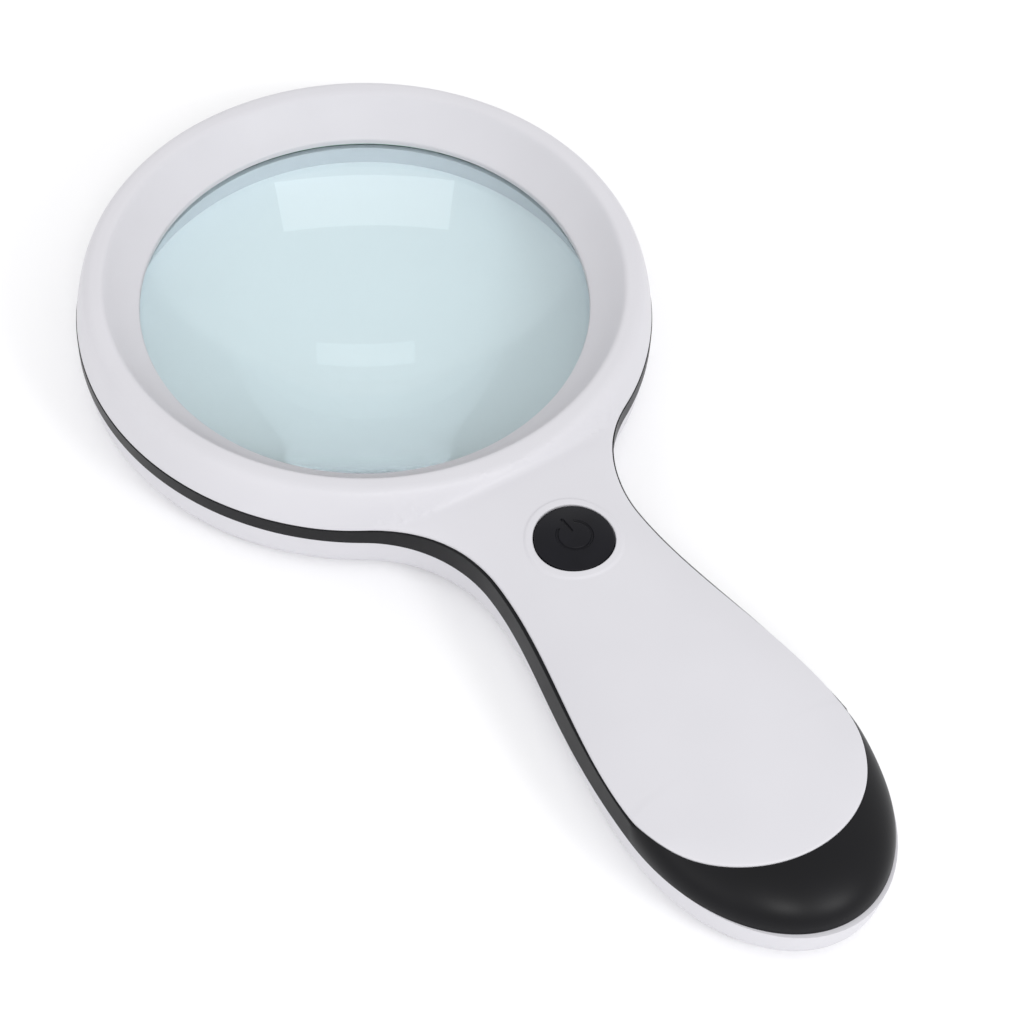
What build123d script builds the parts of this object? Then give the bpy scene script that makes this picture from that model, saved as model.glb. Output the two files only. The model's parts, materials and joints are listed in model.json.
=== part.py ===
from build123d import *
import os
from math import asin, cos, hypot, pi, radians, sin, sqrt

# Hand-held illuminated magnifier, in millimetres.
# Working frame: lens axis on Z, handle along -Y, button side up (+Z), back on Z = 0.
# Every node is moved by shift_y at export, so the origin ends below the middle of the body.

# ---- overall plan outline
ring_radius = 64.1          # black middle band round the lens
waist_half_width = 18.4     # narrowest place of the handle
neck_arc_radius = 30.6      # hollow curve between ring and handle
belly_half_width = 26.3     # widest place of the handle
belly_y = -144.0
butt_y = -181.0

# ---- heights above the back
rear_split_z = 11.2         # rear cover meets the middle frame
front_split_z = 14.9        # middle frame meets the front cover, round the ring
neck_split_z = 16.7         # the same joint where the handle starts
belly_split_z = 16.0        # the same joint at the belly
split_rise_start_y = -48.0
split_rise_end_y = -72.0
ridge_radius = 57.65        # sharp crest of the front ring
ridge_z = 24.95
waist_crown_z = 22.7        # top of the handle at the button
end_crown_z = 20.35         # top of the front cover at its egg-shaped end
dome_height = 11.05         # black end dome, above the rear split
dome_steps = 12             # points from the middle of a dome section to its side
dome_crown = 2.05           # roundness of the dome over its top
dome_side = 1.35            # how much squarer it is along the sides

# ---- front cover plan
band_ledge = 0.35           # how far the black band stands out past the white cover
cover_belly_y = -141.0
cover_belly_half_width = 25.4
cover_end_y = -166.4
cover_lip = 0.8             # upright land at the cover's edge
crown_exponent = 2.6
ridge_slope = 0.78
edge_slope = 2.2
blend_size = 5.0
surface_step = 4.0

# ---- walls and clearances
wall = 2.0
band_wall = 2.4
rear_draft = 1.5
rear_edge_radius = 6.5
split_gap = 0.12            # shadow gap at the egg-shaped end
fit_gap = 0.15
door_gap = 0.4

# ---- lens
lens_radius = 52.0
lens_edge_thickness = 2.6
lens_edge_z = 12.4
lens_bulge = 6.2
lens_bevel = 0.5
lens_seat_drop = 0.4        # the seat slopes down with the back of the lens
opening_radius = 50.0       # clear opening in the front cover
opening_z = 17.0
lip_thickness = 1.2
gasket_inner_radius = 50.5
lens_ledge_radius = 50.4
pocket_wall = 1.7
cone_hollow = 0.25          # how far the slope round the lens is hollowed
rear_bore_radius = 51.2     # round opening behind the lens, at the back
rear_bore_wall = 1.4

# ---- power button and switch
button_y = -83.5
button_radius = 8.35
button_gap = 0.2
button_top_z = 23.3
button_edge_z = 22.1
button_flange_radius = 9.8
button_flange_thickness = 1.0
button_travel = 0.8
button_guide_radius = 11.2
button_guide_z = 18.6
button_skirt = 1.6
button_top_thickness = 1.8
button_chamfer = 0.4
stem_radius = 2.4
icon_radius = 3.1
icon_line = 0.55
icon_depth = 0.3
switch_size = 6.0
switch_body_height = 3.5
switch_cover_thickness = 0.3
plunger_radius = 1.7
plunger_height = 1.6

# ---- circuit boards
board_thickness = 1.6
main_board_z = 9.4
main_board_start_y = -69.0
main_board_end_y = -98.5
main_board_half_width = 12.2
chip_size = 5.0
chip_height = 1.5
chip_y = -91.5
resistor_y = -76.5
resistor_pitch = 6.5
board_post_radius = 2.4     # posts in the rear cover under the main board
board_screw_radius = 0.9
board_screw_x = 9.0
board_screw_front_y = -72.5
board_screw_back_y = -95.0
led_board_inner_radius = 53.4
led_board_outer_radius = 59.6
led_board_z = 5.6
led_board_thickness = 1.2
led_count = 12
led_circle_radius = 55.0
led_size = 3.5
led_base_height = 1.4
led_dome_radius = 1.5
led_hole_radius = 2.3
led_dome_length = 1.0
led_post_circle = 56.0      # posts in the rear cover under the lamp board
led_post_radius = 2.0

# ---- batteries
battery_count = 3
battery_radius = 5.25
battery_length = 43.6
battery_nub_radius = 1.9
battery_nub_length = 0.9
battery_pitch = 11.6
battery_clear = 0.35
bay_start_y = -113.0
bay_spring_room = 5.4
contact_thickness = 0.4
bay_wall = 1.4
bay_top_thickness = 1.0
bay_half_width = 17.9
rib_half = 0.3              # low ribs between the cells
rib_clear = 1.5
rib_z = 11.0
battery_z = 8.0
spring_wire = 0.6
spring_turns = 3.0
spring_radius = 3.0
contact_half = 4.2          # half width of a single contact plate

# ---- battery door
door_start_y = -108.0
door_end_y = -167.0
door_half_width = 17.6
door_corner = 3.0
door_tab_width = 5.0
door_tab_length = 2.6
door_room_z = 4.0            # bay walls stay above this over the door
door_tab_x = 4.5
latch_width = 9.0
latch_length = 3.0

# ---- screws
screw_radius = 1.15
screw_head_radius = 2.3
screw_head_height = 1.5
screw_recess_depth = 2.2
boss_radius = 3.1
ring_screw_angles = (45, 135, 225, 315)
ring_screw_radius = 55.4
neck_screw_x = 11.3
neck_screw_y = -103.0
butt_screw_y = -171.0
screw_tip_z = 17.0          # depth of the screw holes from the back
board_screw_head_radius = 1.9
board_screw_head_height = 1.0

# ---- leads
lead_radius = 0.5
lead_hole_z = 10.2          # holes in the bay walls for the battery leads
lead_hole_clear = 0.3
led_lead_x = 3.0
led_lead_run_z = 8.0
battery_lead_x = 5.0
battery_lead_run_z = 6.6
battery_lead_turn_y = -109.2

shift_y = (ring_radius - butt_y) / 2 - ring_radius
tall = 60.0
far = 300.0


# ---------------------------------------------------------------- plan outlines
def waist_y(ring_r, waist_w, neck_r):
    """Height in Y of the narrowest place: the neck arc touches the ring there."""
    return -sqrt((ring_r + neck_r) ** 2 - (waist_w + neck_r) ** 2)


class Plan:
    """One closed outline: ring, hollow neck, swelling handle and rounded butt."""

    def __init__(self, ring_r, waist_w, neck_r, belly_w, belly, end):
        self.ring_r = ring_r
        self.waist_w = waist_w
        self.neck_r = neck_r
        self.belly_w = belly_w
        self.belly = belly
        self.end = end
        self.waist = waist_y(ring_r, waist_w, neck_r)
        share = ring_r / (ring_r + neck_r)
        self.touch_x = (waist_w + neck_r) * share
        self.touch_y = self.waist * share

    def inset(self, amount):
        """The same outline moved inwards; negative moves it outwards."""
        return Plan(
            self.ring_r - amount,
            self.waist_w - amount,
            self.neck_r + amount,
            self.belly_w - amount,
            self.belly,
            self.end + amount,
        )

    def half_width(self, y):
        """Half width at y, for the neck, the handle and the butt."""
        if y >= self.waist:
            rise = min(y - self.waist, self.neck_r)
            return self.waist_w + self.neck_r - sqrt(self.neck_r ** 2 - rise ** 2)
        if y >= self.belly:
            u = (self.waist - y) / (self.waist - self.belly)
            return self.waist_w + (self.belly_w - self.waist_w) * (3 * u * u - 2 * u ** 3)
        u = min((self.belly - y) / (self.belly - self.end), 1)
        return self.belly_w * sqrt(1 - u * u)

    def face(self, z=0.0):
        third = (self.waist - self.belly) / 3
        neck_mid_x = self.waist_w + self.neck_r * (1 - cos(radians(28)))
        neck_mid_y = self.waist + self.neck_r * sin(radians(28))
        neck = ThreePointArc(
            (self.touch_x, self.touch_y), (neck_mid_x, neck_mid_y), (self.waist_w, self.waist)
        )
        side = Bezier(
            (self.waist_w, self.waist),
            (self.waist_w, self.waist - third),
            (self.belly_w, self.belly + third),
            (self.belly_w, self.belly),
        )
        butt = EllipticalCenterArc(
            (0, self.belly), self.belly_w, self.belly - self.end, start_angle=270, arc_size=90
        )
        head = ThreePointArc(
            (self.touch_x, self.touch_y), (0, self.ring_r), (-self.touch_x, self.touch_y)
        )
        half = [curve.edge() for curve in (neck, side, butt)]
        mirrored = [edge.mirror(Plane.YZ) for edge in half]
        return Pos(0, 0, z) * Face(Wire([head.edge()] + half + mirrored))


band_plan = Plan(
    ring_radius, waist_half_width, neck_arc_radius, belly_half_width, belly_y, butt_y
)
cover_plan = Plan(
    ring_radius - 0.2,
    waist_half_width - 0.95,
    neck_arc_radius + 0.95,
    cover_belly_half_width,
    cover_belly_y,
    cover_end_y,
)


# ---------------------------------------------------------------- front surface
def front_split(y):
    """Height of the joint between middle frame and front cover at y."""
    if y >= split_rise_start_y:
        return front_split_z
    if y >= split_rise_end_y:
        u = (split_rise_start_y - y) / (split_rise_start_y - split_rise_end_y)
        return front_split_z + (neck_split_z - front_split_z) * (3 * u * u - 2 * u ** 3)
    slope = (neck_split_z - belly_split_z) / (split_rise_end_y - belly_y)
    return neck_split_z - slope * (split_rise_end_y - y)


def ring_height(r):
    """Front surface round the lens, at radius r."""
    t = r - ridge_radius
    span = cover_plan.ring_r - ridge_radius
    if t < 0:
        reach = 8.0
        u = min(-t / reach, 1)
        return ridge_z + ridge_slope * reach * (u - u * u / 2)
    steepening = (edge_slope - ridge_slope) / (2 * span)
    past = max(t - span - 1.0, 0)
    t -= past
    return ridge_z - ridge_slope * t - steepening * t * t - edge_slope * past


def crown_line(y):
    """Height of the handle's centre line at y."""
    waist = cover_plan.waist
    u = max(waist - y, 0) / (waist - cover_end_y)
    return waist_crown_z - (waist_crown_z - end_crown_z) * u * u


def handle_height(x, y):
    """Crowned front surface of the neck and handle."""
    fade_y = -46.0
    u = abs(x) / crown_half_width(y)
    drop = u ** crown_exponent if u < 1 else 1 + crown_exponent * (u - 1)
    top = crown_line(min(y, fade_y))
    edge = front_split(y) + cover_lip
    fade = max(y - fade_y, 0)
    return top - (top - edge) * drop - 0.35 * fade * fade


def crown_half_width(y):
    """Half width that the crown is spread over: the cover's, carried on past its egg end."""
    if y < cover_belly_y:
        return cover_belly_half_width + 0.5 * cover_lip
    return cover_plan.half_width(y)


def front_height(x, y):
    """Front surface: the ring and the handle, run together in a soft hollow."""
    ring = ring_height(hypot(x, y))
    handle = handle_height(x, y)
    top = max(ring, handle)
    above = (top - front_split(y) - cover_lip) / 6.0
    size = blend_size * min(max(above, 0.05), 1)
    near = max(size - abs(ring - handle), 0) / size
    return top + near ** 3 * size / 6


def front_point(x, y, depth):
    """A point on the front surface, or depth below it, measured square to the surface."""
    z = front_height(x, y)
    if depth:
        slope_x = front_height(x + 0.5, y) - front_height(x - 0.5, y)
        slope_y = front_height(x, y + 0.5) - front_height(x, y - 0.5)
        z -= depth * sqrt(1 + slope_x ** 2 + slope_y ** 2)
    return Vector(x, y, z)


def below_front(depth):
    """Everything under the front surface, skinned over cross-sections of the body."""
    reach = surface_step * (int(ring_radius / surface_step) + 1)
    steps = int(2 * reach / surface_step) + 1
    sections = []
    y = ring_radius + 2.0
    while y > cover_end_y - 2 * surface_step:
        points = [front_point(i * surface_step - reach, y, depth) for i in range(steps)]
        left_foot = Vector(-reach, y, -tall)
        right_foot = Vector(reach, y, -tall)
        sections.append(
            Wire(
                [
                    Spline(*points).edge(),
                    Edge.make_line(points[-1], right_foot),
                    Edge.make_line(right_foot, left_foot),
                    Edge.make_line(left_foot, points[0]),
                ]
            )
        )
        y -= surface_step
    return Solid.make_loft(sections)


def under_split(drop):
    """Everything below the front split, less drop."""
    third = (split_rise_start_y - split_rise_end_y) / 3
    low = front_split_z - drop
    high = neck_split_z - drop
    end_y = butt_y - 20
    profile = Wire(
        [
            Line((0, 90, low), (0, split_rise_start_y, low)).edge(),
            Bezier(
                (0, split_rise_start_y, low),
                (0, split_rise_start_y - third, low),
                (0, split_rise_end_y + third, high),
                (0, split_rise_end_y, high),
            ).edge(),
            Line((0, split_rise_end_y, high), (0, end_y, front_split(end_y) - drop)).edge(),
            Line((0, end_y, front_split(end_y) - drop), (0, end_y, -tall)).edge(),
            Line((0, end_y, -tall), (0, 90, -tall)).edge(),
            Line((0, 90, -tall), (0, 90, low)).edge(),
        ]
    )
    return Solid.extrude(Face(profile), Vector(2 * far, 0, 0)).moved(Pos(-far, 0, 0))


def column(plan, low, high):
    """Upright prism over an outline."""
    return Solid.extrude(plan.face(low), Vector(0, 0, high - low))


def turned(points):
    """Solid of revolution about the lens axis from (radius, height) points."""
    outline = Wire.make_polygon([Vector(r, 0, z) for r, z in points], close=True)
    return Solid.revolve(Face(outline), 360, Axis.Z)


def post(x, y, radius, low, high):
    return Pos(x, y, low) * Cylinder(radius, high - low, align=(Align.CENTER, Align.CENTER, Align.MIN))


def block(x_low, x_high, y_low, y_high, z_low, z_high):
    size = (x_high - x_low, y_high - y_low, z_high - z_low)
    return Pos(x_low, y_low, z_low) * Box(*size, align=(Align.MIN, Align.MIN, Align.MIN))


def ring_spots(angles, radius):
    return [(radius * cos(radians(a)), radius * sin(radians(a))) for a in angles]


def screw_spots():
    """Every case screw as (x, y)."""
    spots = ring_spots(ring_screw_angles, ring_screw_radius)
    return spots + neck_screw_spots() + [(0, butt_screw_y)]


def neck_screw_spots():
    return [(neck_screw_x, neck_screw_y), (-neck_screw_x, neck_screw_y)]


# ---------------------------------------------------------------- end dome
def dome_section(y_share, inset):
    """Cross-section of the end dome; y_share runs from 0 at the belly to 1 at the butt."""
    half = (belly_half_width - inset) * sqrt(1 - y_share ** 2)
    height = dome_height - inset
    y = belly_y - (belly_y - butt_y - inset) * y_share
    points = []
    for k in range(-dome_steps, dome_steps + 1):
        across = sin(k / dome_steps * pi / 2)
        x_share = across * sqrt(1 - y_share ** 2)
        out = min(hypot(x_share, y_share), 1)
        side = abs(x_share) / out if out else 1
        power = dome_crown + dome_side * side ** 24
        lift = height * max(1 - out ** power, 0) ** (1 / power)
        if abs(k) == dome_steps:
            lift = 0
        points.append(Vector(half * across, y, rear_split_z + lift))
    return Wire([Spline(*points).edge(), Edge.make_line(points[-1], points[0])])


def dome(inset):
    """Rounded end of the handle, above the rear split."""
    shares = [sin(radians(angle)) for angle in range(0, 86, 5)]
    return Solid.make_loft([dome_section(share, inset) for share in shares])


# ---------------------------------------------------------------- casing
def rear_body(inset):
    """Rear half as a solid; inset gives the space inside its wall."""
    top = band_plan.inset(inset)
    foot = band_plan.inset(inset + rear_draft)
    low = inset
    body = Solid.make_loft(
        [top.face(rear_split_z).outer_wire(), foot.face(low).outer_wire()], ruled=True
    )
    edges = body.edges().filter_by_position(Axis.Z, low - 0.01, low + 0.01)
    return body.fillet(rear_edge_radius - inset, edges)


def door_panel(gap):
    """Column through the back where the battery door lies."""
    foot = -1.0
    width = 2 * (door_half_width - gap)
    length = door_start_y - door_end_y - 2 * gap
    middle = (door_start_y + door_end_y) / 2
    outline = RectangleRounded(width, length, door_corner - gap)
    return Pos(0, middle, foot) * extrude(outline, door_room_z - foot)


def bay_end_y():
    return bay_start_y - 2 * contact_thickness - battery_length - battery_nub_length - bay_spring_room


def battery_bay():
    """Walls and ceiling of the battery compartment, open at the back."""
    top = battery_z + battery_radius + battery_clear
    outer = block(
        -bay_half_width - bay_wall,
        bay_half_width + bay_wall,
        bay_end_y() - bay_wall,
        bay_start_y + bay_wall,
        wall,
        top + bay_top_thickness,
    )
    inner = block(-bay_half_width, bay_half_width, bay_end_y(), bay_start_y, 0, top)
    bay = outer - inner
    for side in (-1, 1):
        x = side * battery_pitch / 2
        bay += block(
            x - rib_half, x + rib_half, bay_end_y() + rib_clear, bay_start_y - rib_clear, rib_z, top
        )
    for side in (-1, 1):
        x = side * battery_pitch
        bay -= Pos(x, bay_start_y + bay_wall / 2, lead_hole_z) * Rotation(90, 0, 0) * Cylinder(
            lead_radius + lead_hole_clear, 2 * bay_wall
        )
    bay -= Pos(battery_pitch, bay_end_y() - bay_wall / 2, lead_hole_z) * Rotation(
        90, 0, 0
    ) * Cylinder(lead_radius + lead_hole_clear, 2 * bay_wall)
    return bay


def upper_room():
    """Space inside the middle frame, a fit gap clear of its walls."""
    band = column(band_plan.inset(band_wall + fit_gap), rear_split_z, tall)
    band = band & block(-far, far, belly_y, 0, 0, tall)
    return band.fuse(dome(wall + 2 * fit_gap))


def rear_cover():
    shell = rear_body(0) - rear_body(wall)
    bore = turned(
        [(0, -1), (rear_bore_radius, -1), (lens_ledge_radius, rear_split_z), (0, rear_split_z + 1)]
    )
    shell += turned(
        [
            (rear_bore_radius - 0.3, 0),
            (rear_bore_radius + rear_bore_wall, 0),
            (lens_ledge_radius + rear_bore_wall, rear_split_z),
            (lens_ledge_radius - 0.3, rear_split_z),
        ]
    )
    shell -= bore
    inside = rear_body(0)
    shell += battery_bay() & inside.fuse(upper_room())
    for x, y in screw_spots():
        shell += post(x, y, boss_radius, 0.5, rear_split_z) & inside
    for x, y in board_screw_spots():
        shell += post(x, y, board_post_radius, 1.0, main_board_z)
        shell -= post(x, y, board_screw_radius, wall + 1, main_board_z + 1)
    for x, y in led_post_spots():
        shell += post(x, y, led_post_radius, 1.0, led_board_z)
        shell -= post(x, y, board_screw_radius, wall, led_board_z + 1)
    for x, y in screw_spots():
        shell -= post(x, y, screw_head_radius + 0.2, -1, screw_recess_depth)
        shell -= post(x, y, screw_radius + 0.15, 0, rear_split_z + 1)
    for x, y in led_spots():
        shell -= post(x, y, led_hole_radius, -1, wall + 1)
    shell -= door_panel(0)
    for side in (-1, 1):
        x = side * door_tab_x
        room = door_tab_width / 2 + 0.4
        shell -= block(
            x - room, x + room, door_start_y - 1, door_start_y + door_tab_length + 0.6,
            wall - 0.2, wall + 3.6
        )
    return shell


def band_outer():
    """Black band, leaning in a little from the rear split to the front split."""
    upper = Plan(
        ring_radius,
        cover_plan.waist_w + band_ledge,
        cover_plan.neck_r - band_ledge,
        cover_plan.belly_w + band_ledge,
        belly_y,
        butt_y + 0.5,
    )
    high = neck_split_z + 0.5
    return Solid.make_loft(
        [band_plan.face(rear_split_z).outer_wire(), upper.face(high).outer_wire()], ruled=True
    )


def mid_frame():
    band = band_outer() - column(band_plan.inset(band_wall), 0, tall)
    band = band & under_split(0)
    band = band - block(-far, far, butt_y - 10, belly_y, 0, tall)
    end = dome(0) - dome(wall)
    end -= column(cover_plan.inset(-split_gap), 0, tall) - under_split(0)
    end += post(0, butt_screw_y, boss_radius, rear_split_z + fit_gap, tall) & dome(wall / 2)
    end -= post(0, butt_screw_y, screw_radius - 0.1, 0, screw_tip_z)
    frame = band + end
    frame += turned(
        [
            (lens_ledge_radius, rear_split_z),
            (ring_radius - wall, rear_split_z),
            (ring_radius - wall, lens_edge_z),
            (lens_radius + fit_gap + pocket_wall, lens_edge_z),
            (lens_radius + fit_gap + pocket_wall, opening_z - lip_thickness - fit_gap),
            (lens_radius + fit_gap, opening_z - lip_thickness - fit_gap),
            (lens_radius + fit_gap, lens_edge_z),
            (lens_radius - lens_bevel, lens_edge_z),
            (lens_ledge_radius, lens_edge_z - lens_seat_drop),
        ]
    )
    for x, y in ring_spots(ring_screw_angles, ring_screw_radius):
        frame -= post(x, y, screw_radius + 0.3, 0, tall)
    return frame


def front_cover():
    skin = below_front(0) & column(cover_plan, rear_split_z, tall / 2)
    skin -= under_split(0)
    hollow = below_front(wall) & column(cover_plan.inset(wall), 0, tall / 2)
    cover = skin - hollow
    cover += cone_wall()
    guide = post(0, button_y, button_guide_radius, button_guide_z, waist_crown_z)
    bosses = guide
    for x, y in ring_spots(ring_screw_angles, ring_screw_radius):
        bosses += post(x, y, boss_radius, lens_edge_z + fit_gap, waist_crown_z)
    for x, y in neck_screw_spots():
        bosses += post(x, y, boss_radius, rear_split_z + fit_gap, waist_crown_z)
    lens_pocket = lens_radius + pocket_wall + 2 * fit_gap
    bosses -= post(0, 0, lens_pocket, 0, opening_z - lip_thickness)
    cover += bosses & below_front(wall / 2)
    cover -= cone_space()
    for x, y in screw_spots():
        cover -= post(x, y, screw_radius - 0.1, 0, screw_tip_z)
    cover -= post(0, button_y, button_radius + button_gap, 0, tall)
    return cover


def slope_point(share):
    """Point on the slightly hollow slope; share is 0 at the opening and 1 at the ridge."""
    low = Vector(opening_radius, 0, opening_z)
    high = Vector(ridge_radius, 0, ridge_z)
    lift = 4 * cone_hollow * share * (share - 1)
    return low + (high - low) * share + Vector(-lift, 0, lift)


def cone_space():
    """Everything inside the sloping inner face and the clear opening."""
    outside = slope_point(1.7)
    slope = ThreePointArc(slope_point(0), slope_point(1), outside).edge()
    corners = [
        outside,
        Vector(outside.X, 0, tall),
        Vector(0, 0, tall),
        Vector(0, 0, -1),
        Vector(opening_radius, 0, -1),
        Vector(opening_radius, 0, opening_z),
    ]
    lines = [Edge.make_line(a, b) for a, b in zip(corners, corners[1:])]
    return Solid.revolve(Face(Wire([slope] + lines)), 360, Axis.Z)


def cone_wall():
    """Wall behind the sloping inner face, down to the lip over the lens."""
    lip_z = opening_z - lip_thickness
    return turned(
        [
            (opening_radius - 0.5, lip_z),
            (lens_radius + fit_gap + pocket_wall, lip_z),
            (lens_radius + fit_gap + pocket_wall, opening_z + 0.6),
            (ridge_radius + 1.2, ridge_z - 1.8),
            (ridge_radius + 0.2, ridge_z - 0.5),
            (ridge_radius - 1.0, ridge_z - 0.7),
            (opening_radius - 0.5, opening_z + 0.1),
        ]
    )


# ---------------------------------------------------------------- lens
def crown_arc(reach, low, rise):
    """Arc from (reach, low) to the axis at low + rise, level there; a negative rise hangs down."""
    bend = (reach ** 2 + rise ** 2) / (2 * abs(rise))
    half_turn = asin(reach / bend) / 2
    drop = bend * (1 - cos(half_turn)) * (1 if rise > 0 else -1)
    middle = (bend * sin(half_turn), 0, low + rise - drop)
    return ThreePointArc((reach, 0, low), middle, (0, 0, low + rise)).edge()


def magnifier_lens():
    low = lens_edge_z
    high = lens_edge_z + lens_edge_thickness
    edge = lens_radius - lens_bevel
    front = crown_arc(edge, high, lens_bulge)
    back = crown_arc(edge, low, -lens_bulge)
    corners = [
        Vector(edge, 0, low),
        Vector(lens_radius, 0, low + lens_bevel),
        Vector(lens_radius, 0, high - lens_bevel),
        Vector(edge, 0, high),
    ]
    rim = [Edge.make_line(a, b) for a, b in zip(corners, corners[1:])]
    axis = Edge.make_line(Vector(0, 0, high + lens_bulge), Vector(0, 0, low - lens_bulge))
    return Solid.revolve(Face(Wire([front, axis, back] + rim)), 360, Axis.Z)


def lens_gasket():
    low = lens_edge_z + lens_edge_thickness + 0.05
    high = opening_z - lip_thickness
    lift = 0.3
    return turned(
        [
            (gasket_inner_radius, low + lift),
            (lens_radius, low),
            (lens_radius, high),
            (gasket_inner_radius, high),
        ]
    )


# ---------------------------------------------------------------- lighting
def led_spots():
    step = 360 / led_count
    return ring_spots([90 + k * step for k in range(led_count)], led_circle_radius)


def led_post_spots():
    """Posts that carry the lamp board, between lamps and case screws."""
    return ring_spots((15, 165, 195, 345), led_post_circle)


def led_board():
    board = turned(
        [
            (led_board_inner_radius, led_board_z),
            (led_board_outer_radius, led_board_z),
            (led_board_outer_radius, led_board_z + led_board_thickness),
            (led_board_inner_radius, led_board_z + led_board_thickness),
        ]
    )
    for x, y in ring_spots(ring_screw_angles, ring_screw_radius):
        board -= post(x, y, boss_radius + 0.4, 0, tall)
    for x, y in led_post_spots():
        board -= post(x, y, board_screw_radius + 0.2, 0, tall)
    return board


def led_lamp(x, y):
    """Surface-mounted lamp: square base under the board and a clear dome in its hole."""
    half = led_size / 2
    base = block(x - half, x + half, y - half, y + half, led_board_z - led_base_height, led_board_z)
    foot = led_board_z - led_base_height
    lamp = base + post(x, y, led_dome_radius, foot - led_dome_length, foot)
    return lamp + Pos(x, y, foot - led_dome_length) * Sphere(led_dome_radius)


# ---------------------------------------------------------------- switch and button
def switch_body():
    half = switch_size / 2
    low = main_board_z + board_thickness
    body = block(
        -half, half, button_y - half, button_y + half, low, low + switch_body_height
    )
    return body - post(0, button_y, plunger_radius + 0.1, low + 0.8, tall)


def switch_frame():
    """Pressed metal plate over the switch body, with two side legs."""
    half = switch_size / 2
    low = main_board_z + board_thickness + switch_body_height
    plate = block(
        -half, half, button_y - half, button_y + half, low, low + switch_cover_thickness
    )
    for side in (-1, 1):
        x = side * (half + switch_cover_thickness / 2)
        t = switch_cover_thickness / 2
        plate += block(
            x - t, x + t, button_y - 1.2, button_y + 1.2, low - 2.6, low + switch_cover_thickness
        )
    return plate - post(0, button_y, plunger_radius + 0.1, 0, tall)


def plunger_top_z():
    return main_board_z + board_thickness + switch_body_height + plunger_height


def switch_plunger():
    low = main_board_z + board_thickness + 0.8 + button_travel + 0.3
    return post(0, button_y, plunger_radius, low, plunger_top_z())


def button_cap():
    """Domed key with a skirt, a retaining flange and a stem on the switch."""
    flange_top = button_guide_z - fit_gap
    flange_low = flange_top - button_flange_thickness
    stem_low = plunger_top_z() + 0.03
    under_top = button_edge_z - button_top_thickness
    chord = button_radius - button_chamfer
    sag = button_top_z - button_edge_z
    dome_arc = crown_arc(chord, button_edge_z, sag)
    corners = [
        Vector(chord, 0, button_edge_z),
        Vector(button_radius, 0, button_edge_z - button_chamfer),
        Vector(button_radius, 0, flange_top),
        Vector(button_flange_radius, 0, flange_top),
        Vector(button_flange_radius, 0, flange_low),
        Vector(button_radius - button_skirt, 0, flange_low),
        Vector(button_radius - button_skirt, 0, under_top),
        Vector(stem_radius, 0, under_top),
        Vector(stem_radius, 0, stem_low),
        Vector(0, 0, stem_low),
        Vector(0, 0, button_top_z),
    ]
    lines = [Edge.make_line(a, b) for a, b in zip(corners, corners[1:])]
    cap = Pos(0, button_y, 0) * Solid.revolve(Face(Wire([dome_arc] + lines)), 360, Axis.Z)
    return cap - power_icon()


def power_icon():
    """Engraved open ring with an upright stroke towards the lens."""
    floor = button_top_z - 0.24 * (button_top_z - button_edge_z) - icon_depth
    ring = post(0, 0, icon_radius + icon_line / 2, floor, button_top_z + 1)
    ring -= post(0, 0, icon_radius - icon_line / 2, floor - 1, button_top_z + 2)
    opening = icon_radius * 0.62
    ring -= block(-opening, opening, 0.5, icon_radius + 2, floor - 1, button_top_z + 2)
    stroke_end = icon_radius + 1.0
    stroke = block(-icon_line / 2, icon_line / 2, 1.1, stroke_end, floor, button_top_z + 1)
    return Pos(0, button_y, 0) * (ring + stroke)


# ---------------------------------------------------------------- main board
def board_screw_spots():
    return [(board_screw_x, board_screw_front_y), (-board_screw_x, board_screw_back_y)]


def main_board():
    board = block(
        -main_board_half_width,
        main_board_half_width,
        main_board_end_y,
        main_board_start_y,
        main_board_z,
        main_board_z + board_thickness,
    )
    for x, y in board_screw_spots():
        board -= post(x, y, board_screw_radius + 0.2, 0, tall)
    return board


def driver_chip():
    low = main_board_z + board_thickness
    half = chip_size / 2
    chip = block(-half, half, chip_y - half * 0.8, chip_y + half * 0.8, low + 0.1, low + chip_height)
    for side in (-1, 1):
        for k in range(4):
            y = chip_y - 1.5 + k
            x = side * (half + 0.5)
            chip += block(x - 0.55, x + 0.55, y - 0.2, y + 0.2, low, low + 0.3)
    return chip


def board_resistors():
    low = main_board_z + board_thickness
    parts = []
    for k in range(3):
        x = resistor_pitch * (k - 1)
        parts.append(block(x - 1.0, x + 1.0, resistor_y - 0.6, resistor_y + 0.6, low, low + 0.5))
    return Compound(children=parts)


# ---------------------------------------------------------------- batteries
def battery_direction(index):
    """1 where the cell's nub points to the neck, -1 where it points to the butt."""
    return 1 if index % 2 == 0 else -1


def battery_x(index):
    return (index - (battery_count - 1) / 2) * battery_pitch


def cell_start_y(index):
    """Neck end of the cell's nub or spring."""
    return bay_start_y - contact_thickness


def battery(index):
    can = Cylinder(battery_radius, battery_length, align=(Align.CENTER, Align.CENTER, Align.MIN))
    can = can.fillet(0.5, can.edges().filter_by(GeomType.CIRCLE))
    nub = Pos(0, 0, battery_length) * Cylinder(
        battery_nub_radius, battery_nub_length, align=(Align.CENTER, Align.CENTER, Align.MIN)
    )
    cell = can + nub
    x = battery_x(index)
    if battery_direction(index) > 0:
        foot = cell_start_y(index) - battery_nub_length - battery_length
        return Pos(x, foot, battery_z) * Rotation(-90, 0, 0) * cell
    foot = cell_start_y(index) - bay_spring_room
    return Pos(x, foot, battery_z) * Rotation(90, 0, 0) * cell


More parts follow.
